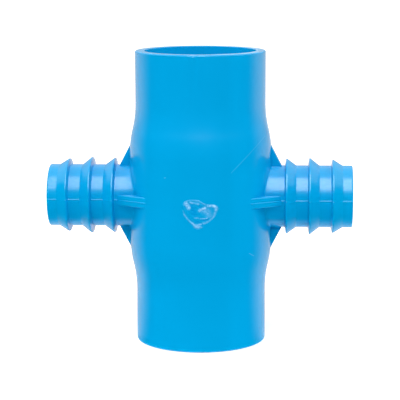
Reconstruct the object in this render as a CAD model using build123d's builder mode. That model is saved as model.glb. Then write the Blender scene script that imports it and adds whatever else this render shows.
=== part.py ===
from build123d import *
import os
from math import radians, tan

os.makedirs("parts", exist_ok=True)

# Four-way cross, injection moulded in one shot from blue uPVC. It joins two rigid pipes,
# pushed into plain sockets at the top and bottom, to two soft hoses on barbed side tails.
# Each feature of the moulding is its own closed solid and meets its neighbours face to face.
#
# Millimetres. The origin is where the barrel axis and the tail axis cross. +Z runs up the
# barrel, +X runs out along the right tail, and -Y is the front, where the mould was fed.

# ---- pipe sockets ----
pipe_diameter = 34.0         # outside diameter of 1 inch pressure pipe
pipe_clearance = 0.1         # radial gap between pipe and socket
socket_depth = 32.0          # from the mouth down to the pipe stop
socket_wall = 2.9
rim_round = 0.5              # outer edge of the mouth
mouth_break = 0.15           # inner edge of the mouth

# ---- hub ----
stop_ledge = 1.6             # how far the pipe stop stands in from the socket bore
hub_wall = 6.4
hub_shoulder = 3.45          # straight hub left above and below the tail root
flare_length = 16.0          # height over which the hub thins down to the socket wall

# ---- hose tails ----
tail_diameter = 19.1
tail_wall = 2.05
tail_neck = 4.5              # hub to the crest of the first barb
barb_pitch = 7.1
tail_tip = 6.2               # crest of the last barb to the end of the tail
tip_round = 0.4
barb_heights = {"inner": 2.0, "middle": 2.2, "outer": 1.75}
barb_land = 0.4              # flat on each crest
barb_ramp = 3.0              # run of the slope that faces the hose
barb_undercut = 0.45         # run of the steep face that faces the hub

# ---- webs that brace the tails ----
web_thickness = 3.2
web_reach = 3.15             # hub to the toe of the web
upright_web_angle = 61.5     # outer edge of the top and bottom webs, from the tail axis
level_web_angle = 31.0       # outer edge of the front and back webs, from the tail axis

# ---- gate vestige ----
gate_width = 11.2
gate_height = 9.2
gate_across = 1.2            # its centre, to the right of the barrel axis
gate_drop = 2.2              # its centre, below the tail axis
gate_rise = 0.3              # how far it stands off the hub
gate_corner = 1.8
gate_lean = 1.4              # how far its foot sits to the left of its centre

# ---- sizes that follow from the ones above ----
socket_radius = pipe_diameter / 2 + pipe_clearance
mouth_radius = socket_radius + socket_wall
chamber_radius = socket_radius - stop_ledge
hub_radius = chamber_radius + hub_wall
tail_radius = tail_diameter / 2
port_radius = tail_radius - tail_wall
hub_top = tail_radius + hub_shoulder
barrel_top = hub_top + socket_depth
barb_crests = {
    "inner": hub_radius + tail_neck,
    "middle": hub_radius + tail_neck + barb_pitch,
    "outer": hub_radius + tail_neck + 2 * barb_pitch,
}
tail_end = barb_crests["outer"] + tail_tip

pieces = {}


# ---- centre body: the thick ring round the flow chamber, with a port to each tail ----
with BuildPart() as centre_body:
    with BuildSketch(Plane.XY.offset(-hub_top)):
        Circle(hub_radius)
        Circle(chamber_radius, mode=Mode.SUBTRACT)
    extrude(amount=2 * hub_top)
    with BuildSketch(Plane.YZ):
        Circle(port_radius)
    extrude(amount=hub_radius, both=True, mode=Mode.SUBTRACT)
pieces["centre_body"] = centre_body


# ---- sockets: the wall thins from the hub in a smooth double curve ----
flare_middle = ((hub_radius + mouth_radius) / 2, hub_top + flare_length / 2)
with BuildPart() as upper_socket:
    with BuildSketch(Plane.XZ):
        with BuildLine():
            hub_side = TangentArc((hub_radius, hub_top), flare_middle, tangent=(0, 1))
            mouth_side = TangentArc(
                hub_side @ 1,
                (mouth_radius, hub_top + flare_length),
                tangent=hub_side % 1,
            )
            Polyline(
                mouth_side @ 1,
                (mouth_radius, barrel_top),
                (socket_radius, barrel_top),
                (socket_radius, hub_top),
                (hub_radius, hub_top),
            )
        make_face()
    revolve(axis=Axis.Z)
    mouth_edges = upper_socket.edges().filter_by(GeomType.CIRCLE).group_by(Axis.Z)[-1]
    fillet(mouth_edges.sort_by(SortBy.RADIUS)[-1], radius=rim_round)
    chamfer(mouth_edges.sort_by(SortBy.RADIUS)[0], length=mouth_break)
pieces["upper_socket"] = upper_socket

with BuildPart() as lower_socket:
    mirror(upper_socket.part, about=Plane.XY)
pieces["lower_socket"] = lower_socket


# ---- solid outline of the barrel, used only to trim what stands on it ----
with BuildPart() as barrel_outline:
    with BuildSketch(Plane.XY.offset(-hub_top)):
        Circle(hub_radius)
    extrude(amount=2 * hub_top)
    with BuildSketch(Plane.XZ):
        with BuildLine():
            add([hub_side, mouth_side])
            Polyline(
                mouth_side @ 1,
                (mouth_radius, barrel_top),
                (0, barrel_top),
                (0, hub_top),
                (hub_radius, hub_top),
            )
        make_face()
    revolve(axis=Axis.Z)
    mirror(about=Plane.XY)


# ---- hose tails: a bored spigot whose root is shaped to the hub ----
with BuildPart() as right_hose_tail:
    with BuildSketch(Plane.YZ):
        Circle(tail_radius)
    extrude(amount=tail_end)
    fillet(right_hose_tail.edges().group_by(Axis.X)[-1], radius=tip_round)
    with BuildSketch(Plane.YZ):
        Circle(port_radius)
    extrude(amount=tail_end, mode=Mode.SUBTRACT)
    add(barrel_outline.part, mode=Mode.SUBTRACT)
pieces["right_hose_tail"] = right_hose_tail

with BuildPart() as left_hose_tail:
    mirror(right_hose_tail.part, about=Plane.YZ)
pieces["left_hose_tail"] = left_hose_tail


# ---- barbs: saw-tooth rings, sloped towards the tip so that a hose slides on and grips ----
for position, crest in barb_crests.items():
    crest_radius = tail_radius + barb_heights[position]
    with BuildPart() as right_barb:
        with BuildSketch(Plane.XY):
            with BuildLine():
                Polyline(
                    (crest - barb_undercut, tail_radius),
                    (crest, crest_radius),
                    (crest + barb_land, crest_radius),
                    (crest + barb_land + barb_ramp, tail_radius),
                    close=True,
                )
            make_face()
        revolve(axis=Axis.X)
    pieces[f"right_barb_{position}"] = right_barb
    with BuildPart() as left_barb:
        mirror(right_barb.part, about=Plane.YZ)
    pieces[f"left_barb_{position}"] = left_barb


# ---- webs: flat triangles between hub and tail, above, below, in front and behind ----
web_toe = hub_radius + web_reach
web_root = hub_radius / 2    # the sketch runs this deep and is trimmed to the barrel
web_run = web_toe - web_root
web_planes = {
    "top": (Plane.XZ, upright_web_angle),
    "bottom": (Plane.XZ.rotated((180, 0, 0)), upright_web_angle),
    "back": (Plane.XY, level_web_angle),
    "front": (Plane.XY.rotated((180, 0, 0)), level_web_angle),
}
for position, (web_plane, web_angle) in web_planes.items():
    with BuildPart() as right_web:
        with BuildSketch(web_plane):
            with BuildLine():
                Polyline(
                    (web_toe, 0),
                    (web_toe, tail_radius),
                    (web_root, tail_radius + web_run * tan(radians(web_angle))),
                    (web_root, 0),
                    close=True,
                )
            make_face()
        extrude(amount=web_thickness / 2, both=True)
        add(barrel_outline.part, mode=Mode.SUBTRACT)
        with BuildSketch(Plane.YZ):
            Circle(tail_radius)
        extrude(amount=tail_end, mode=Mode.SUBTRACT)
    pieces[f"right_gusset_{position}"] = right_web
    with BuildPart() as left_web:
        mirror(right_web.part, about=Plane.YZ)
    pieces[f"left_gusset_{position}"] = left_web


# ---- gate vestige: a thin three-cornered pad on the front of the hub ----
gate_shoulder = gate_width / 2 - gate_corner
gate_crown = gate_height / 2 - gate_corner
with BuildPart() as gate_vestige:
    with BuildSketch(Plane.XY.offset(-hub_top)):
        Circle(hub_radius + gate_rise)
        Circle(hub_radius, mode=Mode.SUBTRACT)
    extrude(amount=2 * hub_top)
    with BuildSketch(Plane.XZ):
        with Locations(
            (gate_across - gate_shoulder, gate_crown - gate_drop),
            (gate_across + gate_shoulder, gate_crown - gate_drop),
            (gate_across - gate_lean, -gate_crown - gate_drop),
        ):
            Circle(gate_corner)
        make_hull()
    extrude(amount=hub_radius + gate_rise, mode=Mode.INTERSECT)
pieces["gate_vestige"] = gate_vestige


for name, piece in pieces.items():
    piece.part.label = name
    export_step(piece.part, f"parts/{name}.step")

print(f"{len(pieces)} pieces")
print(f"barrel {2 * barrel_top:.1f} tall, {2 * mouth_radius:.1f} across the mouth")
print(f"{2 * tail_end:.1f} across the tails")
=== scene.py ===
"""The looks of a four-way pipe cross, injection moulded in glossy blue uPVC.

Every piece of the moulding is rebuilt here as a smooth mesh over its plain CAD node: the
barrel in three lengths, the two hose tails with their barbs and webs, and the rough scar
where the runner was broken off the front of the hub. Metres, in the frame of the CAD model:
+Z up the barrel, +X out along the right tail, -Y towards the front.
"""

import logging
import math
from dataclasses import dataclass
from enum import Enum

import bmesh
import bpy
from bmesh.types import BMesh, BMVert
from bpy.types import Material, Node, NodeSocket, NodeTree, Object
from mathutils import Matrix, Vector, noise


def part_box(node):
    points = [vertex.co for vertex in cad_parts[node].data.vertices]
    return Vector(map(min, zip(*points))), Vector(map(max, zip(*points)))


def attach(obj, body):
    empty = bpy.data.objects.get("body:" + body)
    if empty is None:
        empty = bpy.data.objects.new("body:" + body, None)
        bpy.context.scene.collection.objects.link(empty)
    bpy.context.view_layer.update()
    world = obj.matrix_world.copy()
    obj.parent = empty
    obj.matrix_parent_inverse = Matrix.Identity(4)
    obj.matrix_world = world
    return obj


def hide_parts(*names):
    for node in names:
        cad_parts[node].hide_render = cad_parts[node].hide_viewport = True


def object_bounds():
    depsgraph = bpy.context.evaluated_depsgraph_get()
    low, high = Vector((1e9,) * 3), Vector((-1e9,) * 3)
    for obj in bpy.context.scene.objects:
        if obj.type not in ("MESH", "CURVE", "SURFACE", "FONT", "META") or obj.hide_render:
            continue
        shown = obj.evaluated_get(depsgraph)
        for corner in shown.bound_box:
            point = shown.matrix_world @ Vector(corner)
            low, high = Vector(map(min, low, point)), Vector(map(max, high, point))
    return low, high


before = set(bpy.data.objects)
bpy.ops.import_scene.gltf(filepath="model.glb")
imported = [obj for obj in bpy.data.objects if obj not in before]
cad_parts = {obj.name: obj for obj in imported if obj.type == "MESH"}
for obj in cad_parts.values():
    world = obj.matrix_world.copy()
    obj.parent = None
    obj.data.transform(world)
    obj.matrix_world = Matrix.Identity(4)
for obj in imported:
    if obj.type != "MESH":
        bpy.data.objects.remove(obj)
cad_low, cad_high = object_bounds()

MM = 0.001
BODY = "root"
SHARP_ANGLE = math.radians(30)
MERGE_GAP = 0.002 * MM
ON_PLANE = 0.01 * MM
log = logging.getLogger("cross")


# ---- shapes that are turned on an axis ----


class Axis(Enum):
    """The two axes of the cross. Each holds its direction."""

    BARREL = (0.0, 0.0, 1.0)
    TAIL = (1.0, 0.0, 0.0)

    def place(self, across: float, along: float) -> Vector:
        """Finds a point of a section from its distances across and along the axis."""
        if self is Axis.BARREL:
            return Vector((across, 0.0, along))
        return Vector((along, 0.0, across))


@dataclass(frozen=True)
class Corner:
    """A corner of a turned section.

    A rounded corner is a true arc. Its support is how far beyond each end of the arc an
    extra row stands, which keeps the flat next to it shading flat.
    """

    across: float
    along: float
    rounding: float = 0.0
    steps: int = 6
    support: float = 0.2 * MM


def draw_corner(mesh: BMesh, before: Vector, here: Vector, after: Vector,
                corner: Corner) -> list[BMVert]:
    """Draws one corner of a section and the rows beside it.

    Args:
        mesh: The mesh that gets the vertices.
        before: The corner before this one.
        here: This corner, before it is rounded.
        after: The corner after this one.
        corner: The rounding of this corner.

    Returns:
        The first and the last vertex of the corner.
    """
    if corner.rounding == 0.0:
        point = mesh.verts.new(here)
        return [point, point]
    backward = (before - here).normalized()
    forward = (after - here).normalized()
    turn = math.pi - backward.angle(forward)
    setback = corner.rounding * math.tan(turn / 2)
    middle = here + (backward + forward).normalized() * (corner.rounding / math.cos(turn / 2))
    first = start = mesh.verts.new(here + backward * setback)
    arc = bmesh.ops.spin(
        mesh, geom=[start], cent=middle, axis=forward.cross(backward), angle=turn,
        steps=corner.steps, use_merge=False, use_duplicate=False,
    )
    last = next(item for item in arc["geom_last"] if isinstance(item, BMVert))
    if corner.support > 0.0:
        end = last
        first = mesh.verts.new(start.co + backward * corner.support)
        last = mesh.verts.new(end.co + forward * corner.support)
        mesh.edges.new((first, start))
        mesh.edges.new((end, last))
    return [first, last]


def turn_section(corners: list[Corner], axis: Axis, steps: int) -> BMesh:
    """Turns a closed section through a full circle.

    Args:
        corners: The corners of the section, in order.
        axis: The axis that it turns on.
        steps: How many facets go round.

    Returns:
        A closed mesh with its faces outwards.
    """
    mesh = bmesh.new()
    points = [axis.place(corner.across, corner.along) for corner in corners]
    ends = [
        draw_corner(mesh, points[i - 1], points[i], points[(i + 1) % len(points)], corner)
        for i, corner in enumerate(corners)
    ]
    for (_, last), (first, _) in zip(ends, ends[1:] + ends[:1]):
        mesh.edges.new((last, first))
    bmesh.ops.spin(
        mesh, geom=mesh.verts[:] + mesh.edges[:], cent=(0, 0, 0), axis=axis.value,
        angle=2 * math.pi, steps=steps, use_merge=True, use_duplicate=False,
    )
    settle(mesh)
    return mesh


def settle(mesh: BMesh) -> None:
    """Merges what coincides and points every face outwards."""
    bmesh.ops.remove_doubles(mesh, verts=mesh.verts[:], dist=MERGE_GAP)
    bmesh.ops.recalc_face_normals(mesh, faces=mesh.faces[:])


def flip(mesh: BMesh, scale: tuple[float, float, float]) -> None:
    """Turns a mesh into its mirror image and points its faces outwards again.

    Args:
        mesh: The mesh.
        scale: 1 along each axis that stays, and -1 along the one that is mirrored.
    """
    bmesh.ops.scale(mesh, vec=scale, verts=mesh.verts[:])
    bmesh.ops.recalc_face_normals(mesh, faces=mesh.faces[:])


def publish(mesh: BMesh, node: str, material: Material) -> Object:
    """Makes a finished mesh a piece that stands for its CAD node.

    Args:
        mesh: The finished mesh, which is freed.
        node: The CAD node that it stands for.
        material: Its material.

    Returns:
        The new object.
    """
    data = bpy.data.meshes.new(f"{node}_shape")
    mesh.to_mesh(data)
    mesh.free()
    data.shade_smooth()
    data.set_sharp_from_angle(angle=SHARP_ANGLE)
    piece = bpy.data.objects.new(f"{node}_moulding", data)
    bpy.context.scene.collection.objects.link(piece)
    data.materials.append(material)
    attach(piece, BODY)
    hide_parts(node)
    log.info("%s: %d faces", piece.name, len(data.polygons))
    return piece


# ---- materials ----


def linear(code: str) -> tuple[float, float, float, float]:
    """Turns an sRGB colour into linear light.

    Args:
        code: The colour, such as '#1A2B3C'.

    Returns:
        Linear red, green, blue and alpha.
    """
    parts = [int(code[i:i + 2], 16) / 255 for i in (1, 3, 5)]
    red, green, blue = (
        part / 12.92 if part <= 0.04045 else ((part + 0.055) / 1.055) ** 2.4
        for part in parts
    )
    return red, green, blue, 1.0


def add_node(tree: NodeTree, kind: str, settings: dict | None = None,
             links: dict | None = None) -> Node:
    """Adds a node to a tree.

    Args:
        tree: The tree.
        kind: The node's type.
        settings: Its properties by name, and its inputs' values by name or number.
        links: The output socket that feeds each input, by the input's name or number.

    Returns:
        The new node.
    """
    node = tree.nodes.new(kind)
    for key, value in (settings or {}).items():
        if isinstance(key, str) and hasattr(node, key):
            setattr(node, key, value)
        else:
            node.inputs[key].default_value = value
    for key, source in (links or {}).items():
        tree.links.new(source, node.inputs[key])
    return node


def new_tree(material: Material) -> tuple[NodeTree, Node]:
    """Empties a material's tree.

    Args:
        material: The material.

    Returns:
        The tree and its new output node.
    """
    material.use_nodes = True
    tree = material.node_tree
    tree.nodes.clear()
    return tree, add_node(tree, "ShaderNodeOutputMaterial")


@dataclass(frozen=True)
class Scratch:
    """A straight mark on the front, seen along Y, from start to end in X and Z."""

    start: tuple[float, float]
    end: tuple[float, float]
    width: float
    strength: float
    core: float = 0.3

    def mask(self, tree: NodeTree, place: NodeSocket) -> NodeSocket:
        """Adds the nodes that find the mark.

        Args:
            tree: The material's tree.
            place: Object coordinates with Y flattened to zero.

        Returns:
            A socket that is the mark's strength on it and 0 off it.
        """
        start = Vector((self.start[0], 0.0, self.start[1]))
        run = Vector((self.end[0], 0.0, self.end[1])) - start
        offset = add_node(tree, "ShaderNodeVectorMath", {"operation": "SUBTRACT", 1: start},
                          {0: place})
        share = add_node(tree, "ShaderNodeVectorMath",
                         {"operation": "DOT_PRODUCT", 1: run / run.length_squared},
                         {0: offset.outputs["Vector"]})
        clamped = add_node(tree, "ShaderNodeClamp", links={"Value": share.outputs["Value"]})
        foot = add_node(tree, "ShaderNodeVectorMath", {"operation": "SCALE", 0: run},
                        {"Scale": clamped.outputs["Result"]})
        gap = add_node(tree, "ShaderNodeVectorMath", {"operation": "DISTANCE"},
                       {0: offset.outputs["Vector"], 1: foot.outputs["Vector"]})
        fade = add_node(
            tree, "ShaderNodeMapRange",
            {"From Min": self.core * self.width, "From Max": self.width,
             "To Min": self.strength, "To Max": 0.0},
            {"Value": gap.outputs["Value"]},
        )
        return fade.outputs["Result"]


@dataclass(frozen=True)
class MouldedUpvc:
    """Injection-moulded uPVC, straight off a polished steel mould.

    It is a dense plastic with its pigment all through, so it has one even colour under a
    clean gloss. What the eye gets besides is slight: the gloss is a little uneven where the
    melt shrank from the mould, the skin ripples over a few millimetres, and handling has
    left fine scuffs.
    """

    name: str = "injection-moulded uPVC"
    colour: str = "#009AD4"
    cloudy_colour: str = "#009EDA"
    scuff_colour: str = "#7CC4EC"
    cloud_size: float = 14 * MM
    cloud_low: float = 0.3
    cloud_high: float = 0.7
    ripple_size: float = 3.2 * MM
    ripple_height: float = 0.012 * MM
    grain_size: float = 0.35 * MM
    grain_height: float = 0.0012 * MM
    roughness: float = 0.19
    roughness_spread: float = 0.03
    ior: float = 1.54
    scratches: tuple[Scratch, ...] = (
        Scratch((19.9 * MM, 19.6 * MM), (10.2 * MM, 10.1 * MM), 0.16 * MM, 0.13),
        Scratch((15.5 * MM, -15.0 * MM), (16.8 * MM, -16.05 * MM), 0.18 * MM, 0.30),
        Scratch((-9.7 * MM, 8.5 * MM), (-9.3 * MM, 8.6 * MM), 0.22 * MM, 0.35),
    )

    def make(self) -> Material:
        """Builds the material."""
        material = bpy.data.materials.new(self.name)
        tree, output = new_tree(material)
        tree.links.new(self.surface(tree).outputs["BSDF"], output.inputs["Surface"])
        return material

    def surface(self, tree: NodeTree) -> Node:
        """Adds the nodes of the moulded skin.

        Args:
            tree: The material's tree.

        Returns:
            The shader node.
        """
        place = add_node(tree, "ShaderNodeTexCoord").outputs["Object"]
        clouds = add_node(tree, "ShaderNodeTexNoise",
                          {"Scale": 1 / self.cloud_size, "Detail": 2.0, "Roughness": 0.5},
                          {"Vector": place}).outputs["Fac"]
        body = add_node(tree, "ShaderNodeMix",
                        {"data_type": "RGBA", 6: linear(self.colour),
                         7: linear(self.cloudy_colour)}, {0: clouds}).outputs[2]
        marked = self.scuff(tree, place, body)
        gloss = add_node(tree, "ShaderNodeMapRange",
                         {"From Min": self.cloud_low, "From Max": self.cloud_high,
                          "To Min": self.roughness - self.roughness_spread,
                          "To Max": self.roughness + self.roughness_spread},
                         {"Value": clouds}).outputs["Result"]
        ripple = add_node(tree, "ShaderNodeTexNoise",
                          {"Scale": 1 / self.ripple_size, "Detail": 1.0},
                          {"Vector": place}).outputs["Fac"]
        ripple_bump = add_node(tree, "ShaderNodeBump",
                               {"Strength": 1.0, "Distance": self.ripple_height},
                               {"Height": ripple}).outputs["Normal"]
        grain = add_node(tree, "ShaderNodeTexNoise",
                         {"Scale": 1 / self.grain_size, "Detail": 2.0},
                         {"Vector": place}).outputs["Fac"]
        skin = add_node(tree, "ShaderNodeBump",
                        {"Strength": 1.0, "Distance": self.grain_height},
                        {"Height": grain, "Normal": ripple_bump}).outputs["Normal"]
        return add_node(tree, "ShaderNodeBsdfPrincipled", {"IOR": self.ior},
                        {"Base Color": marked, "Roughness": gloss,
                         "Normal": self.tool_marks(tree, place, skin)})

    def tool_marks(self, tree: NodeTree, place: NodeSocket, skin: NodeSocket) -> NodeSocket:
        """Leaves the skin as it is, since a polished mould face carries no tool marks.

        Args:
            tree: The material's tree, which is not used.
            place: Object coordinates, which are not used.
            skin: The normal of the skin.

        Returns:
            The normal with the tool marks in it.
        """
        return skin

    def scuff(self, tree: NodeTree, place: NodeSocket, colour: NodeSocket) -> NodeSocket:
        """Lays the scratches over the body colour.

        Args:
            tree: The material's tree.
            place: Object coordinates.
            colour: The colour under the scratches.

        Returns:
            The colour with the scratches on it.
        """
        flat = add_node(tree, "ShaderNodeVectorMath",
                        {"operation": "MULTIPLY", 1: (1.0, 0.0, 1.0)}, {0: place})
        depth = add_node(tree, "ShaderNodeSeparateXYZ", links={0: place}).outputs["Y"]
        front = add_node(tree, "ShaderNodeMath", {"operation": "LESS_THAN", 1: 0.0},
                         {0: depth}).outputs[0]
        for scratch in self.scratches:
            mask = scratch.mask(tree, flat.outputs["Vector"])
            amount = add_node(tree, "ShaderNodeMath", {"operation": "MULTIPLY"},
                              {0: mask, 1: front}).outputs[0]
            colour = add_node(tree, "ShaderNodeMix",
                              {"data_type": "RGBA", 7: linear(self.scuff_colour)},
                              {0: amount, 6: colour}).outputs[2]
        return colour


@dataclass(frozen=True)
class RingedUpvc(MouldedUpvc):
    """The same plastic on the tails.

    Their mould was bored on a lathe and left unpolished, so fine rings round the tail break
    up its highlights.
    """

    name: str = "lathe-ringed uPVC"
    roughness: float = 0.23
    ring_pitch: float = 0.5 * MM
    ring_height: float = 0.03 * MM

    def tool_marks(self, tree: NodeTree, place: NodeSocket, skin: NodeSocket) -> NodeSocket:
        """Lays the rings over the skin, as a height that changes along the tail only.

        Args:
            tree: The material's tree.
            place: Object coordinates.
            skin: The normal of the skin.

        Returns:
            The normal with the rings in it.
        """
        along = add_node(tree, "ShaderNodeVectorMath",
                         {"operation": "MULTIPLY", 1: (1.0, 0.0, 0.0)}, {0: place})
        rings = add_node(tree, "ShaderNodeTexNoise",
                         {"Scale": 1 / self.ring_pitch, "Detail": 2.0},
                         {"Vector": along.outputs["Vector"]}).outputs["Fac"]
        return add_node(tree, "ShaderNodeBump",
                        {"Strength": 1.0, "Distance": self.ring_height},
                        {"Height": rings, "Normal": skin}).outputs["Normal"]


@dataclass(frozen=True)
class TornUpvc(MouldedUpvc):
    """The same plastic where the runner was snapped off it.

    Tearing stretches uPVC until it whitens, so the ridges of the scar are pale and dull,
    and the hollows are painted a darker blue, as painted shade.
    """

    name: str = "torn uPVC gate scar"
    whitened_colour: str = "#A6D4FF"
    # Painted shade: the darker blue laid into the scar's hollows.
    painted_shade_colour: str = "#0083CC"
    roughness: float = 0.30
    # The attribute holds the ridges' whitening above zero and the hollows' painted shade below it.
    attribute: str = "whitening_and_painted_shade"

    def scuff(self, tree: NodeTree, place: NodeSocket, colour: NodeSocket) -> NodeSocket:
        """Whitens the torn ridges and paints shade into the hollows, by the scar's own attribute.

        Args:
            tree: The material's tree.
            place: Object coordinates, which the scar has no use for.
            colour: The colour of the plastic.

        Returns:
            The colour of the scar, with painted shade in its hollows.
        """
        whitening_and_painted_shade = add_node(tree, "ShaderNodeAttribute",
                             {"attribute_name": self.attribute}).outputs["Fac"]
        # Below zero the attribute is painted shade, mixed in as a darker blue.
        painted_hollow_shade = add_node(tree, "ShaderNodeMath", {"operation": "MULTIPLY", 1: -1.0},
                          {0: whitening_and_painted_shade}).outputs[0]
        deep = add_node(tree, "ShaderNodeMix",
                        {"data_type": "RGBA", 7: linear(self.painted_shade_colour)},
                        {0: painted_hollow_shade, 6: colour}).outputs[2]
        return add_node(tree, "ShaderNodeMix",
                        {"data_type": "RGBA", 7: linear(self.whitened_colour)},
                        {0: whitening_and_painted_shade, 6: deep}).outputs[2]


# ---- the barrel ----


@dataclass
class Barrel:
    """The upright tube: a thick hub ring with a plain pipe socket above and below it."""

    upvc: Material
    steps: int = 384
    mouth_radius: float = 20.0 * MM
    socket_radius: float = 17.1 * MM
    chamber_radius: float = 15.5 * MM
    port_radius: float = 7.52 * MM
    flare_length: float = 16.0 * MM
    flare_steps: int = 14
    rim_round: float = 0.5 * MM
    mouth_break: float = 0.15 * MM
    ledge_round: float = 0.25 * MM
    flash_height: float = 0.03 * MM
    flash_width: float = 0.16 * MM
    nick_place: float = -0.9 * MM
    nick_width: float = 0.8 * MM
    nick_depth: float = 0.32 * MM
    nick_reach: float = 1.6
    port_steps: int = 128

    def __post_init__(self) -> None:
        """Reads the barrel's driving sizes from the frame."""
        self.hub_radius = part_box("centre_body")[1].y
        self.hub_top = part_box("centre_body")[1].z
        self.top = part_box("upper_socket")[1].z

    def build(self) -> None:
        """Makes the barrel's three pieces."""
        self.make_centre()
        upper = self.turn_socket()
        self.nick_rim(upper)
        publish(upper, "upper_socket", self.upvc)
        lower = self.turn_socket()
        flip(lower, (1.0, 1.0, -1.0))
        publish(lower, "lower_socket", self.upvc)

    def turn_socket(self) -> BMesh:
        """Turns the upper socket, from the hub up to the rounded mouth.

        Returns:
            The mesh.
        """
        run = self.flare_length / 2
        fall = (self.hub_radius - self.mouth_radius) / 2
        bend = (run * run + fall * fall) / (2 * fall)
        corner_rise = bend * math.tan(math.atan2(fall, run))
        flare_top = self.hub_top + self.flare_length
        curve = {"rounding": bend, "steps": self.flare_steps, "support": 0.0}
        return turn_section(
            [
                Corner(self.hub_radius, self.hub_top),
                Corner(self.hub_radius, self.hub_top + corner_rise, **curve),
                Corner(self.mouth_radius, flare_top - corner_rise, **curve),
                Corner(self.mouth_radius, self.top, self.rim_round, 8),
                Corner(self.socket_radius, self.top, self.mouth_break, 3),
                Corner(self.socket_radius, self.hub_top),
            ],
            Axis.BARREL, self.steps,
        )

    def nick_rim(self, mesh: BMesh) -> None:
        """Dents the outer edge of the upper rim at the front.

        Args:
            mesh: The upper socket.
        """
        reach = self.nick_reach * self.rim_round
        for vert in mesh.verts:
            depth = vert.co.z - (self.top - reach)
            wall = vert.co.xy.length - (self.mouth_radius - reach)
            if depth > 0 and wall > 0 and vert.co.y < 0:
                offset = (vert.co.x - self.nick_place) / self.nick_width
                dent = self.nick_depth * math.exp(-offset * offset)
                vert.co.z -= dent
                vert.co.y += dent

    def make_centre(self) -> None:
        """Makes the hub ring, with its pipe stops, its mould line and a port to each tail."""
        mesh = turn_section(
            [
                Corner(self.hub_radius, -self.hub_top),
                Corner(self.hub_radius, -2 * self.flash_width),
                Corner(self.hub_radius, -self.flash_width),
                Corner(self.hub_radius + self.flash_height, 0.0),
                Corner(self.hub_radius, self.flash_width),
                Corner(self.hub_radius, 2 * self.flash_width),
                Corner(self.hub_radius, self.hub_top),
                Corner(self.chamber_radius, self.hub_top, self.ledge_round, 3),
                Corner(self.chamber_radius, -self.hub_top, self.ledge_round, 3),
            ],
            Axis.BARREL, self.steps,
        )
        self.drill_ports(publish(mesh, "centre_body", self.upvc))

    def drill_ports(self, piece: Object) -> None:
        """Drills the ports across the hub ring, out to both tails.

        Args:
            piece: The hub ring.
        """
        drill = bpy.data.meshes.new("port_drill")
        tool = bmesh.new()
        bmesh.ops.create_cone(
            tool, cap_ends=True, segments=self.port_steps, radius1=self.port_radius,
            radius2=self.port_radius, depth=3 * self.hub_radius,
            matrix=Matrix.Rotation(math.pi / 2, 4, "Y"),
        )
        tool.to_mesh(drill)
        tool.free()
        drill_object = bpy.data.objects.new("port_drill", drill)
        bpy.context.scene.collection.objects.link(drill_object)
        cut = piece.modifiers.new("ports", "BOOLEAN")
        cut.operation = "DIFFERENCE"
        cut.object = drill_object
        cut.solver = "EXACT"
        graph = bpy.context.evaluated_depsgraph_get()
        drilled = bpy.data.meshes.new_from_object(piece.evaluated_get(graph))
        piece.modifiers.clear()
        piece.data = drilled
        drilled.set_sharp_from_angle(angle=SHARP_ANGLE)
        bpy.data.objects.remove(drill_object)


# ---- the hose tails ----


class Side(Enum):
    """The side of the barrel that a tail stands on, as the sign of X."""

    LEFT = -1
    RIGHT = 1

    @property
    def word(self) -> str:
        """The side's word in node names."""
        return self.name.lower()


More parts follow.
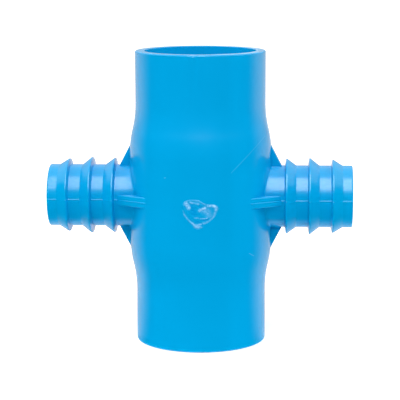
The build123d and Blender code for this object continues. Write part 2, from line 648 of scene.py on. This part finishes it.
@dataclass
class HoseTail:
    """One barbed spigot, with the four flat webs that brace its root."""

    side: Side
    upvc: Material
    ringed: Material
    steps: int = 512
    bore_radius: float = 7.5 * MM
    tip_round: float = 0.4 * MM
    bore_break: float = 0.15 * MM
    root_fillet: float = 0.4 * MM
    root_sink: float = 0.3 * MM
    barb_land: float = 0.4 * MM
    barb_ramp: float = 2.75 * MM
    barb_undercut: float = 0.45 * MM
    barb_sink: float = 0.12 * MM
    crest_round: float = 0.14 * MM
    flash_height: float = 0.10 * MM
    flash_width: float = 0.14 * MM
    web_edge_round: float = 0.3 * MM
    web_sink: float = 0.6 * MM
    cut_gap: float = 0.001 * MM
    crest_support: float = 0.05 * MM

    def __post_init__(self) -> None:
        """Reads the tail's driving sizes from the frame."""
        self.hub_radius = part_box("centre_body")[1].y
        tail_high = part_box("right_hose_tail")[1]
        self.tail_radius = tail_high.z
        self.tail_end = tail_high.x

    def build(self) -> None:
        """Makes the tail, its three barbs and its four webs."""
        self.finish(self.turn_tail(), f"{self.side.word}_hose_tail", self.ringed)
        for position in ("inner", "middle", "outer"):
            self.finish(self.turn_barb(position), f"{self.side.word}_barb_{position}", self.upvc)
        for position in ("top", "bottom", "front", "back"):
            self.finish(self.cut_web(position), f"{self.side.word}_gusset_{position}", self.upvc)

    def finish(self, mesh: BMesh, node: str, material: Material) -> None:
        """Turns a piece drawn for the right tail to this side, and publishes it.

        Args:
            mesh: The finished mesh.
            node: The CAD node that it stands for.
            material: Its material.
        """
        if self.side is Side.LEFT:
            flip(mesh, (-1.0, 1.0, 1.0))
        publish(mesh, node, material)

    def raise_flash(self, mesh: BMesh) -> None:
        """Lifts the thin line that the mould's joint leaves at mid-height, front and back.

        Args:
            mesh: The tube or a barb.
        """
        for vert in mesh.verts:
            outside = vert.co.yz.length > self.tail_radius - 0.5 * self.barb_sink
            share = max(0.0, 1.0 - abs(vert.co.z) / (1.5 * self.flash_width))
            if outside and share > 0.0:
                lift = self.flash_height * math.sin(math.pi / 2 * share)
                vert.co.y += math.copysign(lift, vert.co.y)

    def turn_tail(self) -> BMesh:
        """Turns the bored tube, and fits its filleted root to the hub.

        Returns:
            The mesh.
        """
        root = self.hub_radius
        clear = root + 3 * self.root_fillet
        mesh = turn_section(
            [
                Corner(self.bore_radius, root - self.root_sink),
                Corner(self.tail_radius + self.root_fillet, root - self.root_sink),
                Corner(self.tail_radius + self.root_fillet, root),
                Corner(self.tail_radius, root, self.root_fillet, 7, 0.0),
                Corner(self.tail_radius, clear),
                Corner(self.tail_radius, self.tail_end, self.tip_round, 7),
                Corner(self.bore_radius, self.tail_end, self.bore_break, 3),
                Corner(self.bore_radius, clear),
            ],
            Axis.TAIL, self.steps,
        )
        for vert in mesh.verts:
            if vert.co.x < root + 2 * self.root_fillet:
                vert.co.x -= root - math.sqrt(root * root - vert.co.y * vert.co.y)
        self.raise_flash(mesh)
        return mesh

    def turn_barb(self, position: str) -> BMesh:
        """Turns one saw-tooth ring, its edges slightly rounded and its foot in the tube.

        Args:
            position: The barb's word in its node name.

        Returns:
            The mesh.
        """
        low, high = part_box(f"right_barb_{position}")
        crest = low.x + self.barb_undercut
        height = high.z - self.tail_radius
        deeper = (height + self.barb_sink) / height
        foot = self.tail_radius - self.barb_sink
        mesh = turn_section(
            [
                Corner(foot, crest - self.barb_undercut * deeper),
                Corner(high.z, crest, self.crest_round, 4, self.crest_support),
                Corner(high.z, crest + self.barb_land, self.crest_round, 4, self.crest_support),
                Corner(foot, crest + self.barb_land + self.barb_ramp * deeper),
            ],
            Axis.TAIL, self.steps,
        )
        self.raise_flash(mesh)
        return mesh

    def cut_web(self, position: str) -> BMesh:
        """Cuts one web as a flat plate, rounds its edges and runs it into hub and tube.

        The plate is drawn in XZ, standing up from the tube, and then turned about the tail
        to its place.

        Args:
            position: The web's word in its node name.

        Returns:
            The mesh.
        """
        upright = position in ("top", "bottom")
        low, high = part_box(f"right_gusset_{position}")
        lie = {"top": 0.0, "front": 90.0, "bottom": 180.0, "back": 270.0}[position]
        near = {"top": high.z, "bottom": -low.z, "front": -low.y, "back": high.y}[position]
        half = high.y if upright else high.z
        toe = Vector((high.x, 0.0, self.tail_radius))
        head = Vector((self.head_along(near, upright), 0.0, near))
        slope = (head - toe).normalized()
        mesh = self.cut_plate(toe, head, slope, half)
        normal = Vector((slope.z, 0.0, -slope.x))
        rims = [
            edge for edge in mesh.edges
            if abs((edge.verts[0].co - edge.verts[1].co).y) < ON_PLANE
            and all(abs((vert.co - toe).dot(normal)) < ON_PLANE for vert in edge.verts)
        ]
        bmesh.ops.bevel(
            mesh, geom=rims, offset=self.web_edge_round, offset_type="OFFSET", segments=4,
            profile=0.5, affect="EDGES", material=-1, clamp_overlap=False,
        )
        if not upright:
            self.part_web(mesh, toe, normal)
        bmesh.ops.rotate(
            mesh, cent=(0, 0, 0), matrix=Matrix.Rotation(math.radians(lie), 3, "X"),
            verts=mesh.verts[:],
        )
        settle(mesh)
        return mesh

    def cut_plate(self, toe: Vector, head: Vector, slope: Vector, half: float) -> BMesh:
        """Cuts the flat plate that a web starts from.

        Args:
            toe: Where the sloping edge meets the tube.
            head: Where the sloping edge meets the barrel.
            slope: The direction from toe to head.
            half: Half of the plate's thickness.

        Returns:
            The mesh.
        """
        sink = self.web_sink
        deep = self.hub_radius - 6 * sink
        outline = [
            toe + Vector((0.0, 0.0, -sink)),
            toe,
            head,
            head + slope * sink,
            head + slope * sink + Vector((-sink, 0.0, 0.0)),
            Vector((deep, 0.0, self.tail_radius - sink)),
        ]
        mesh = bmesh.new()
        face = mesh.faces.new([mesh.verts.new(point) for point in outline])
        grown = bmesh.ops.extrude_face_region(mesh, geom=[face])
        moved = [item for item in grown["geom"] if isinstance(item, BMVert)]
        bmesh.ops.translate(mesh, vec=(0.0, 2 * half, 0.0), verts=moved)
        bmesh.ops.translate(mesh, vec=(0.0, -half, 0.0), verts=mesh.verts[:])
        bmesh.ops.recalc_face_normals(mesh, faces=mesh.faces[:])
        return mesh

    def head_along(self, near: float, upright: bool) -> float:
        """How far out the web's head is, where it meets the barrel.

        Args:
            near: The head's distance from the tail axis.
            upright: Whether the web stands above or below the tail.

        Returns:
            The head's X.
        """
        if upright:
            return self.hub_radius
        return math.sqrt(self.hub_radius ** 2 - near ** 2)

    def part_web(self, mesh: BMesh, toe: Vector, normal: Vector) -> None:
        """Raises the mould line along the middle of a web's sloping edge.

        Args:
            mesh: The web.
            toe: A point on the sloping edge.
            normal: The direction that the sloping edge faces.
        """
        for offset in (-self.flash_width, 0.0, self.flash_width):
            bmesh.ops.bisect_plane(
                mesh, geom=mesh.verts[:] + mesh.edges[:] + mesh.faces[:], dist=self.cut_gap,
                plane_co=(0.0, offset, 0.0), plane_no=(0.0, 1.0, 0.0),
            )
        for vert in mesh.verts:
            if abs(vert.co.y) < ON_PLANE and abs((vert.co - toe).dot(normal)) < ON_PLANE:
                vert.co += normal * self.flash_height


# ---- the gate scar ----


@dataclass(frozen=True)
class Tear:
    """A torn ridge of the scar, drawn through points in X and Z, in millimetres."""

    points: tuple[tuple[float, float], ...]
    width: float
    height: float
    # Above zero this is the ridge's whitening; below zero it is painted shade in a hollow.
    whitening_and_painted_shade: float

    def reach(self, x: float, z: float) -> float:
        """Finds how strongly the ridge is felt at a point.

        Args:
            x: The point's X.
            z: The point's Z.

        Returns:
            1 on the ridge's line, falling to 0 beside it.
        """
        here = Vector((x, z))
        gap = min(
            self.gap_to(here, Vector(start), Vector(end))
            for start, end in zip(self.points, self.points[1:])
        )
        return math.exp(-((gap / self.width) ** 2))

    @staticmethod
    def gap_to(here: Vector, start: Vector, end: Vector) -> float:
        """Measures from a point to the line between two others.

        Args:
            here: The point.
            start: One end of the line.
            end: Its other end.

        Returns:
            The distance.
        """
        run = end - start
        share = max(0.0, min(1.0, (here - start).dot(run) / max(run.length_squared, 1e-9)))
        return (here - start - run * share).length


@dataclass
class GateScar:
    """The rough pad that the snapped-off runner left on the front of the hub.

    Its sizes and points are in millimetres, and its pitches are waves per millimetre.
    """

    torn: Material
    cell: float = 0.1
    edge: float = 0.35
    raggedness: float = 0.12
    ragged_pitch: float = 1.3
    pad_height: float = 0.05
    grain_height: float = 0.05
    grain_pitch: float = 1.6
    patchiness: float = 0.9
    patch_pitch: float = 2.2
    palest_hollow: float = 0.1
    sink: float = 0.12
    headroom: float = 0.97
    outline: tuple[tuple[float, float], ...] = (
        (-3.6, 1.9), (-2.6, 2.35), (-0.6, 2.4), (0.9, 2.25), (1.9, 1.6), (2.9, 1.1),
        (5.2, 1.0), (6.2, 0.6), (6.75, -0.3), (6.3, -1.2), (5.9, -2.2), (5.3, -3.1),
        (4.2, -4.2), (3.1, -4.9), (2.3, -5.2), (2.1, -6.0), (1.2, -6.5), (0.2, -6.8),
        (-0.9, -6.3), (-1.5, -5.3), (-2.9, -3.9), (-4.0, -2.4), (-4.4, -1.0), (-4.35, 0.3),
        (-4.1, 1.2),
    )
    # Tears with a negative last number are hollows, painted darker as shade.
    tears: tuple[Tear, ...] = (
        Tear(((-3.3, 1.45), (-2.9, 0.9), (-2.3, -0.1)), 0.55, 0.07, 0.60),
        Tear(((-3.45, 0.22), (-3.3, 0.22)), 0.26, -0.08, -1.00),
        Tear(((-2.9, 2.0), (-1.7, 2.3), (-0.5, 2.25), (0.75, 2.0)), 0.20, 0.06, 0.24),
        Tear(((0.75, 2.0), (1.86, 1.28), (2.8, 0.8)), 0.20, 0.06, 0.20),
        Tear(((-1.9, 1.5), (-0.5, 1.4), (0.6, 1.1)), 0.32, 0.04, 0.34),
        Tear(((3.4, 0.5), (4.4, 0.55), (5.3, 0.4), (5.9, -0.1), (5.75, -0.8)), 0.36, 0.10, 0.50),
        Tear(((5.0, 0.4), (5.5, 0.3)), 0.32, 0.05, 0.85),
        Tear(((0.8, -0.9), (1.6, -0.5), (2.5, -0.15)), 0.36, 0.06, 0.62),
        Tear(((2.2, -0.9), (3.3, -1.3), (3.7, -2.3)), 0.75, 0.03, 0.26),
        Tear(((5.5, -1.6), (5.15, -2.8), (4.0, -3.9), (2.9, -4.5), (2.0, -4.7)), 0.32, 0.06, 0.32),
        Tear(((-4.05, -1.0), (-3.7, -2.1)), 0.16, 0.03, 0.16),
        Tear(((-3.7, -2.1), (-2.6, -3.6), (-1.3, -4.7)), 0.18, 0.07, 0.34),
        Tear(((-1.3, -4.7), (-1.0, -4.9)), 0.26, 0.06, 0.60),
        Tear(((-0.9, -5.15), (0.2, -5.25), (1.3, -5.0)), 0.22, 0.07, 0.50),
        Tear(((-0.1, -5.7), (0.6, -5.7)), 0.55, 0.06, 0.50),
        Tear(((1.4, -5.9), (1.6, -6.0)), 0.26, 0.03, 0.28),
        Tear(((1.0, -3.3), (2.2, -3.35), (3.2, -3.2)), 0.15, 0.06, 0.36),
        Tear(((-0.6, -3.1), (0.5, -3.1)), 0.18, 0.04, 0.24),
        Tear(((-1.6, 0.6), (-1.2, -0.6), (-0.6, -1.6)), 0.90, -0.02, -0.45),
        Tear(((0.9, 0.5), (1.3, 0.3)), 0.40, -0.02, -0.40),
        Tear(((1.7, -3.75), (2.7, -3.75), (3.4, -3.5)), 0.26, -0.03, -0.80),
        Tear(((-0.3, -4.3), (1.0, -4.3)), 0.40, -0.02, -0.40),
        Tear(((1.7, -5.3), (2.0, -5.5)), 0.35, -0.02, -0.50),
    )

    def build(self) -> None:
        """Makes the scar from a fine grid that is raised, trimmed, wrapped and closed."""
        low, high = (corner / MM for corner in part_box("gate_vestige"))
        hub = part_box("centre_body")[1].y / MM
        ceiling = self.headroom * (-low.y - hub)
        centre = (low + high) / 2
        span = high - low
        mesh = bmesh.new()
        bmesh.ops.create_grid(
            mesh, x_segments=round(span.x / self.cell), y_segments=round(span.z / self.cell),
            size=0.5, matrix=Matrix.Diagonal((span.x, span.z, 1.0, 1.0)),
        )
        # The layer carries whitening on the ridges and painted shade in the hollows.
        layer = mesh.verts.layers.float.new(TornUpvc.attribute)
        for vert in mesh.verts:
            x, z = vert.co.x + centre.x, vert.co.y + centre.z
            rise, vert[layer] = self.relief(x, z)
            vert.co = Vector((x, min(rise, ceiling), z))
        middles = {face: face.calc_center_median() for face in mesh.faces}
        outside = [face for face, middle in middles.items() if self.depth(middle.x, middle.z) <= 0]
        bmesh.ops.delete(mesh, geom=outside, context="FACES")
        grown = bmesh.ops.extrude_face_region(mesh, geom=mesh.faces[:])
        for item in grown["geom"]:
            if isinstance(item, BMVert):
                item.co.y = -self.sink
        for vert in mesh.verts:
            vert.co.y = -math.sqrt((hub + vert.co.y) ** 2 - vert.co.x ** 2)
        bmesh.ops.scale(mesh, vec=(MM, MM, MM), verts=mesh.verts[:])
        bmesh.ops.recalc_face_normals(mesh, faces=mesh.faces[:])
        publish(mesh, "gate_vestige", self.torn)

    def depth(self, x: float, z: float) -> float:
        """Measures how deep a point lies inside the scar's ragged outline.

        Args:
            x: The point's X.
            z: The point's Z.

        Returns:
            The depth, below zero outside the outline.
        """
        here = Vector((x, z))
        corners = [Vector(corner) for corner in self.outline]
        sides = list(zip(corners, corners[1:] + corners[:1]))
        gap = min(Tear.gap_to(here, start, end) for start, end in sides)
        crossed = sum(
            (start.y > z) != (end.y > z)
            and x < start.x + (end.x - start.x) * (z - start.y) / (end.y - start.y)
            for start, end in sides
        )
        ragged = noise.noise(Vector((self.ragged_pitch * x, self.ragged_pitch * z, 4.0)))
        return (gap if crossed % 2 else -gap) + self.raggedness * ragged

    def relief(self, x: float, z: float) -> tuple[float, float]:
        """Works out the scar's surface at a point.

        Args:
            x: The point's X.
            z: The point's Z.

        Returns:
            The height, and the tone from -1, painted shade in a hollow, to 1, whitening on a
            ridge.
        """
        fade = max(0.0, min(1.0, self.depth(x, z) / self.edge))
        grain = noise.fractal(Vector((x, z, 0.0)) * self.grain_pitch, 0.6, 2.0, 4)
        patches = noise.noise(Vector((x, z, 7.0)) * self.patch_pitch)
        patchy = 1.0 + self.patchiness * patches
        rise = self.pad_height + self.grain_height * grain
        white = 0.0
        # The darkest painted shade of the hollows that reach this point.
        painted_hollow_shade = 0.0
        for tear in self.tears:
            reach = tear.reach(x, z) * patchy
            rise += tear.height * reach
            white = max(white, tear.whitening_and_painted_shade * reach)
            painted_hollow_shade = min(painted_hollow_shade, tear.whitening_and_painted_shade * reach)
        # Painted shade darkens a hollow unless a ridge here is pale enough to show instead.
        tone = white if white > self.palest_hollow else white + painted_hollow_shade
        return rise * fade, max(-1.0, min(1.0, tone * fade))


# ---- the studio ----


@dataclass
class Studio:
    """A white table in soft light, with the camera on the front of the cross."""

    camera_distance: float = 484.6 * MM
    camera_azimuth: float = 3.336
    camera_elevation: float = 9.592
    camera_roll: float = -0.165
    lens: float = 140.6
    sensor: float = 36.0
    nearest: float = 0.01
    aim_left: float = 0.233 * MM
    aim_below: float = 1.414 * MM
    table_span: float = 6.0
    table_gap: float = 0.01 * MM
    table_glow: float = 0.57
    contact: float = 0.3 * MM
    ambient: float = 0.80
    key_radiance: float = 5.8
    key_distance: float = 0.62
    key_elevation: float = 55.0
    key_height: float = 0.56
    key_width: float = 0.28
    curtain_full: float = 94.0
    curtain_thin: float = 124.0
    curtain_reach: float = 178.0
    curtain_net: float = 0.6
    curtain_shift: float = 12 * MM
    curtain_steps: int = 64
    curtain_section: tuple[tuple[float, float], ...] = (
        (20.2 * MM, 0.3 * MM), (60 * MM, 0.3 * MM), (110 * MM, 4.3 * MM),
        (260 * MM, 25 * MM), (340 * MM, 195 * MM),
    )
    side_azimuth: float = 80.0
    side_elevation: float = 15.0
    side_distance: float = 0.6
    side_width: float = 0.5
    side_height: float = 0.6
    side_radiance: float = 1.9
    fill_near: float = -0.04
    fill_far: float = 0.25
    fill_width: float = 0.40
    fill_rise: float = 0.1 * MM
    fill_radiance: float = 1.3

    def build(self) -> None:
        """Makes everything in the studio."""
        self.lay_table()
        self.hang_curtain()
        self.light_world()
        self.hang_softbox("key_softbox", 0.0, self.key_elevation, self.key_distance,
                          self.key_width, self.key_height, self.key_radiance)
        for side in Side:
            box = self.hang_softbox(
                f"{side.word}_softbox", side.value * self.side_azimuth, self.side_elevation,
                self.side_distance, self.side_width, self.side_height, self.side_radiance,
            )
            box.visible_glossy = False
        self.lay_fill()
        self.set_camera()
        bpy.context.scene.view_settings.view_transform = "Standard"

    def add_staged(self, name: str, mesh: BMesh, material: Material) -> Object:
        """Adds a mesh that isn't part of the cross.

        Args:
            name: The object's name.
            mesh: The mesh, which is freed.
            material: Its material.

        Returns:
            The new object.
        """
        data = bpy.data.meshes.new(name)
        mesh.to_mesh(data)
        mesh.free()
        data.materials.append(material)
        staged = bpy.data.objects.new(name, data)
        bpy.context.scene.collection.objects.link(staged)
        return staged

    def seen(self, tree: NodeTree) -> NodeSocket:
        """Adds nodes that tell what is seen from what is only lit.

        Args:
            tree: The tree.

        Returns:
            A socket that is 1 for rays seen straight, in gloss or through glass, else 0.
        """
        path = add_node(tree, "ShaderNodeLightPath")
        either = add_node(tree, "ShaderNodeMath", {"operation": "MAXIMUM"}, {
            0: path.outputs["Is Camera Ray"], 1: path.outputs["Is Glossy Ray"],
        })
        return add_node(tree, "ShaderNodeMath", {"operation": "MAXIMUM"}, {
            0: either.outputs[0], 1: path.outputs["Is Transmission Ray"],
        }).outputs[0]

    def lay_table(self) -> None:
        """Lays a white table under the cross.

        It is open to a camera below it, and to rays that start from a face that stands on it.
        """
        material = bpy.data.materials.new("white laminate table")
        tree, output = new_tree(material)
        lit = add_node(tree, "ShaderNodeBsdfDiffuse", {"Color": linear("#F4F4F4")})
        glow = add_node(tree, "ShaderNodeEmission", {"Color": linear("#FFFFFF")})
        strength = add_node(tree, "ShaderNodeMath", {"operation": "MULTIPLY", 1: self.table_glow},
                            {0: self.seen(tree)})
        tree.links.new(strength.outputs[0], glow.inputs["Strength"])
        white = add_node(tree, "ShaderNodeAddShader", links={
            0: lit.outputs["BSDF"], 1: glow.outputs["Emission"],
        })
        below = add_node(tree, "ShaderNodeNewGeometry").outputs["Backfacing"]
        length = add_node(tree, "ShaderNodeLightPath").outputs["Ray Length"]
        touching = add_node(tree, "ShaderNodeMath", {"operation": "LESS_THAN", 1: self.contact},
                            {0: length}).outputs[0]
        gone = add_node(tree, "ShaderNodeMath", {"operation": "MAXIMUM"},
                        {0: below, 1: touching}).outputs[0]
        clear = add_node(tree, "ShaderNodeBsdfTransparent")
        surface = add_node(tree, "ShaderNodeMixShader", links={
            0: gone, 1: white.outputs[0], 2: clear.outputs["BSDF"],
        })
        tree.links.new(surface.outputs["Shader"], output.inputs["Surface"])
        mesh = bmesh.new()
        bmesh.ops.create_grid(
            mesh, x_segments=1, y_segments=1, size=self.table_span / 2,
            matrix=Matrix.Translation((0.0, 0.0, cad_low.z - self.table_gap)),
        )
        self.add_staged("table", mesh, material)

    def weave_felt(self) -> Material:
        """Makes the curtain's felt, solid in front and thinned to a net at the sides.

        Returns:
            The material.
        """
        material = bpy.data.materials.new("black felt")
        tree, output = new_tree(material)
        felt = add_node(tree, "ShaderNodeBsdfDiffuse", {"Color": linear("#050505")})
        place = add_node(tree, "ShaderNodeTexCoord").outputs["Object"]
        level = add_node(tree, "ShaderNodeVectorMath", {
            "operation": "MULTIPLY_ADD", 1: (1.0, 1.0, 0.0), 2: (0.0, self.curtain_shift, 0.0),
        }, {0: place})
        aside = add_node(tree, "ShaderNodeVectorMath", {"operation": "NORMALIZE"},
                         {0: level.outputs["Vector"]})
        behind = add_node(tree, "ShaderNodeSeparateXYZ",
                          links={0: aside.outputs["Vector"]}).outputs["Y"]
        thin = add_node(tree, "ShaderNodeMapRange", {
            "interpolation_type": "SMOOTHSTEP",
            "From Min": -math.cos(math.radians(self.curtain_full)),
            "From Max": -math.cos(math.radians(self.curtain_thin)),
            "To Max": self.curtain_net,
        }, {"Value": behind})
        net = add_node(tree, "ShaderNodeBsdfTransparent")
        edge = add_node(tree, "ShaderNodeMixShader", links={
            0: thin.outputs["Result"], 1: felt.outputs["BSDF"], 2: net.outputs["BSDF"],
        })
        tree.links.new(edge.outputs["Shader"], output.inputs["Surface"])
        return material

    def hang_curtain(self) -> None:
        """Hangs black felt round the cross, which gives the gloss something dark to reflect."""
        mesh = bmesh.new()
        verts = [
            mesh.verts.new((0.0, -across, cad_low.z + rise))
            for across, rise in self.curtain_section
        ]
        for start, end in zip(verts, verts[1:]):
            mesh.edges.new((start, end))
        reach = math.radians(self.curtain_reach)
        bmesh.ops.rotate(mesh, cent=(0, 0, 0), matrix=Matrix.Rotation(-reach, 3, "Z"),
                         verts=mesh.verts[:])
        bmesh.ops.spin(
            mesh, geom=mesh.verts[:] + mesh.edges[:], cent=(0, 0, 0), axis=(0, 0, 1),
            angle=2 * reach, steps=self.curtain_steps, use_merge=False, use_duplicate=False,
        )
        curtain = self.add_staged("curtain", mesh, self.weave_felt())
        curtain.visible_camera = False
        curtain.visible_shadow = False
        curtain.visible_transmission = False

    def light_world(self) -> None:
        """Lights the room: white to look at, and softer as light."""
        world = bpy.data.worlds.new("white room")
        bpy.context.scene.world = world
        world.use_nodes = True
        tree = world.node_tree
        tree.nodes.clear()
        soft = add_node(tree, "ShaderNodeBackground", {"Color": linear("#FFFFFF"),
                                                       "Strength": self.ambient})
        white = add_node(tree, "ShaderNodeBackground", {"Color": linear("#FFFFFF"),
                                                        "Strength": 1.0})
        room = add_node(tree, "ShaderNodeMixShader", links={
            0: self.seen(tree), 1: soft.outputs[0], 2: white.outputs[0],
        })
        add_node(tree, "ShaderNodeOutputWorld", links={"Surface": room.outputs[0]})

    def hang_softbox(self, name: str, azimuth: float, elevation: float, distance: float,
                     width: float, height: float, radiance: float) -> Object:
        """Hangs a softbox that faces the cross.

        Args:
            name: The lamp's name.
            azimuth: Its direction from the front, in degrees towards +X.
            elevation: Its height above the level, in degrees.
            distance: How far it is from the middle of the cross.
            width: Its level side.
            height: Its other side.
            radiance: How bright its face looks, where 1 is white.

        Returns:
            The lamp's object.
        """
        lamp = bpy.data.lights.new(name, "AREA")
        lamp.shape = "RECTANGLE"
        lamp.size = width
        lamp.size_y = height
        lamp.energy = radiance * math.pi * width * height
        box = bpy.data.objects.new(name, lamp)
        turn, rise = math.radians(azimuth), math.radians(elevation)
        box.location = distance * Vector((
            math.sin(turn) * math.cos(rise), -math.cos(turn) * math.cos(rise), math.sin(rise),
        ))
        box.rotation_euler = (-box.location).to_track_quat("-Z", "Y").to_euler()
        bpy.context.scene.collection.objects.link(box)
        return box

    def lay_fill(self) -> None:
        """Lays a glowing panel face up in front, for the light that a white table throws up."""
        depth = self.fill_far - self.fill_near
        fill = self.hang_softbox("fill_panel", 0.0, 0.0, self.fill_near + depth / 2,
                                 self.fill_width, depth, self.fill_radiance)
        fill.location.z = cad_low.z + self.fill_rise
        fill.rotation_euler = (math.pi, 0.0, 0.0)
        fill.visible_glossy = False
        fill.data.cycles.use_multiple_importance_sampling = False
        fill.visible_camera = False

    def set_camera(self) -> None:
        """Sets the camera in front of the cross and a little above it."""
        lens = bpy.data.cameras.new("camera")
        lens.lens = self.lens
        lens.sensor_width = self.sensor
        lens.clip_start = self.nearest
        camera = bpy.data.objects.new("camera", lens)
        turn, rise = math.radians(self.camera_azimuth), math.radians(self.camera_elevation)
        back = Vector((
            math.sin(turn) * math.cos(rise), -math.cos(turn) * math.cos(rise), math.sin(rise),
        ))
        right = Vector((math.cos(turn), math.sin(turn), 0.0))
        up = right.cross(-back)
        aim = -right * self.aim_left - up * self.aim_below
        place = back * self.camera_distance
        look = (aim - place).to_track_quat("-Z", "Y")
        roll = Matrix.Rotation(math.radians(self.camera_roll), 3, "Z").to_quaternion()
        camera.location = place
        camera.rotation_mode = "QUATERNION"
        camera.rotation_quaternion = look @ roll
        bpy.context.scene.collection.objects.link(camera)
        bpy.context.scene.camera = camera


def main() -> None:
    logging.basicConfig(level=logging.INFO, format="%(name)s: %(message)s")
    upvc = MouldedUpvc().make()
    ringed = RingedUpvc().make()
    Barrel(upvc).build()
    for side in Side:
        HoseTail(side, upvc, ringed).build()
    GateScar(TornUpvc().make()).build()
    Studio().build()


if __name__ == "__main__":
    main()
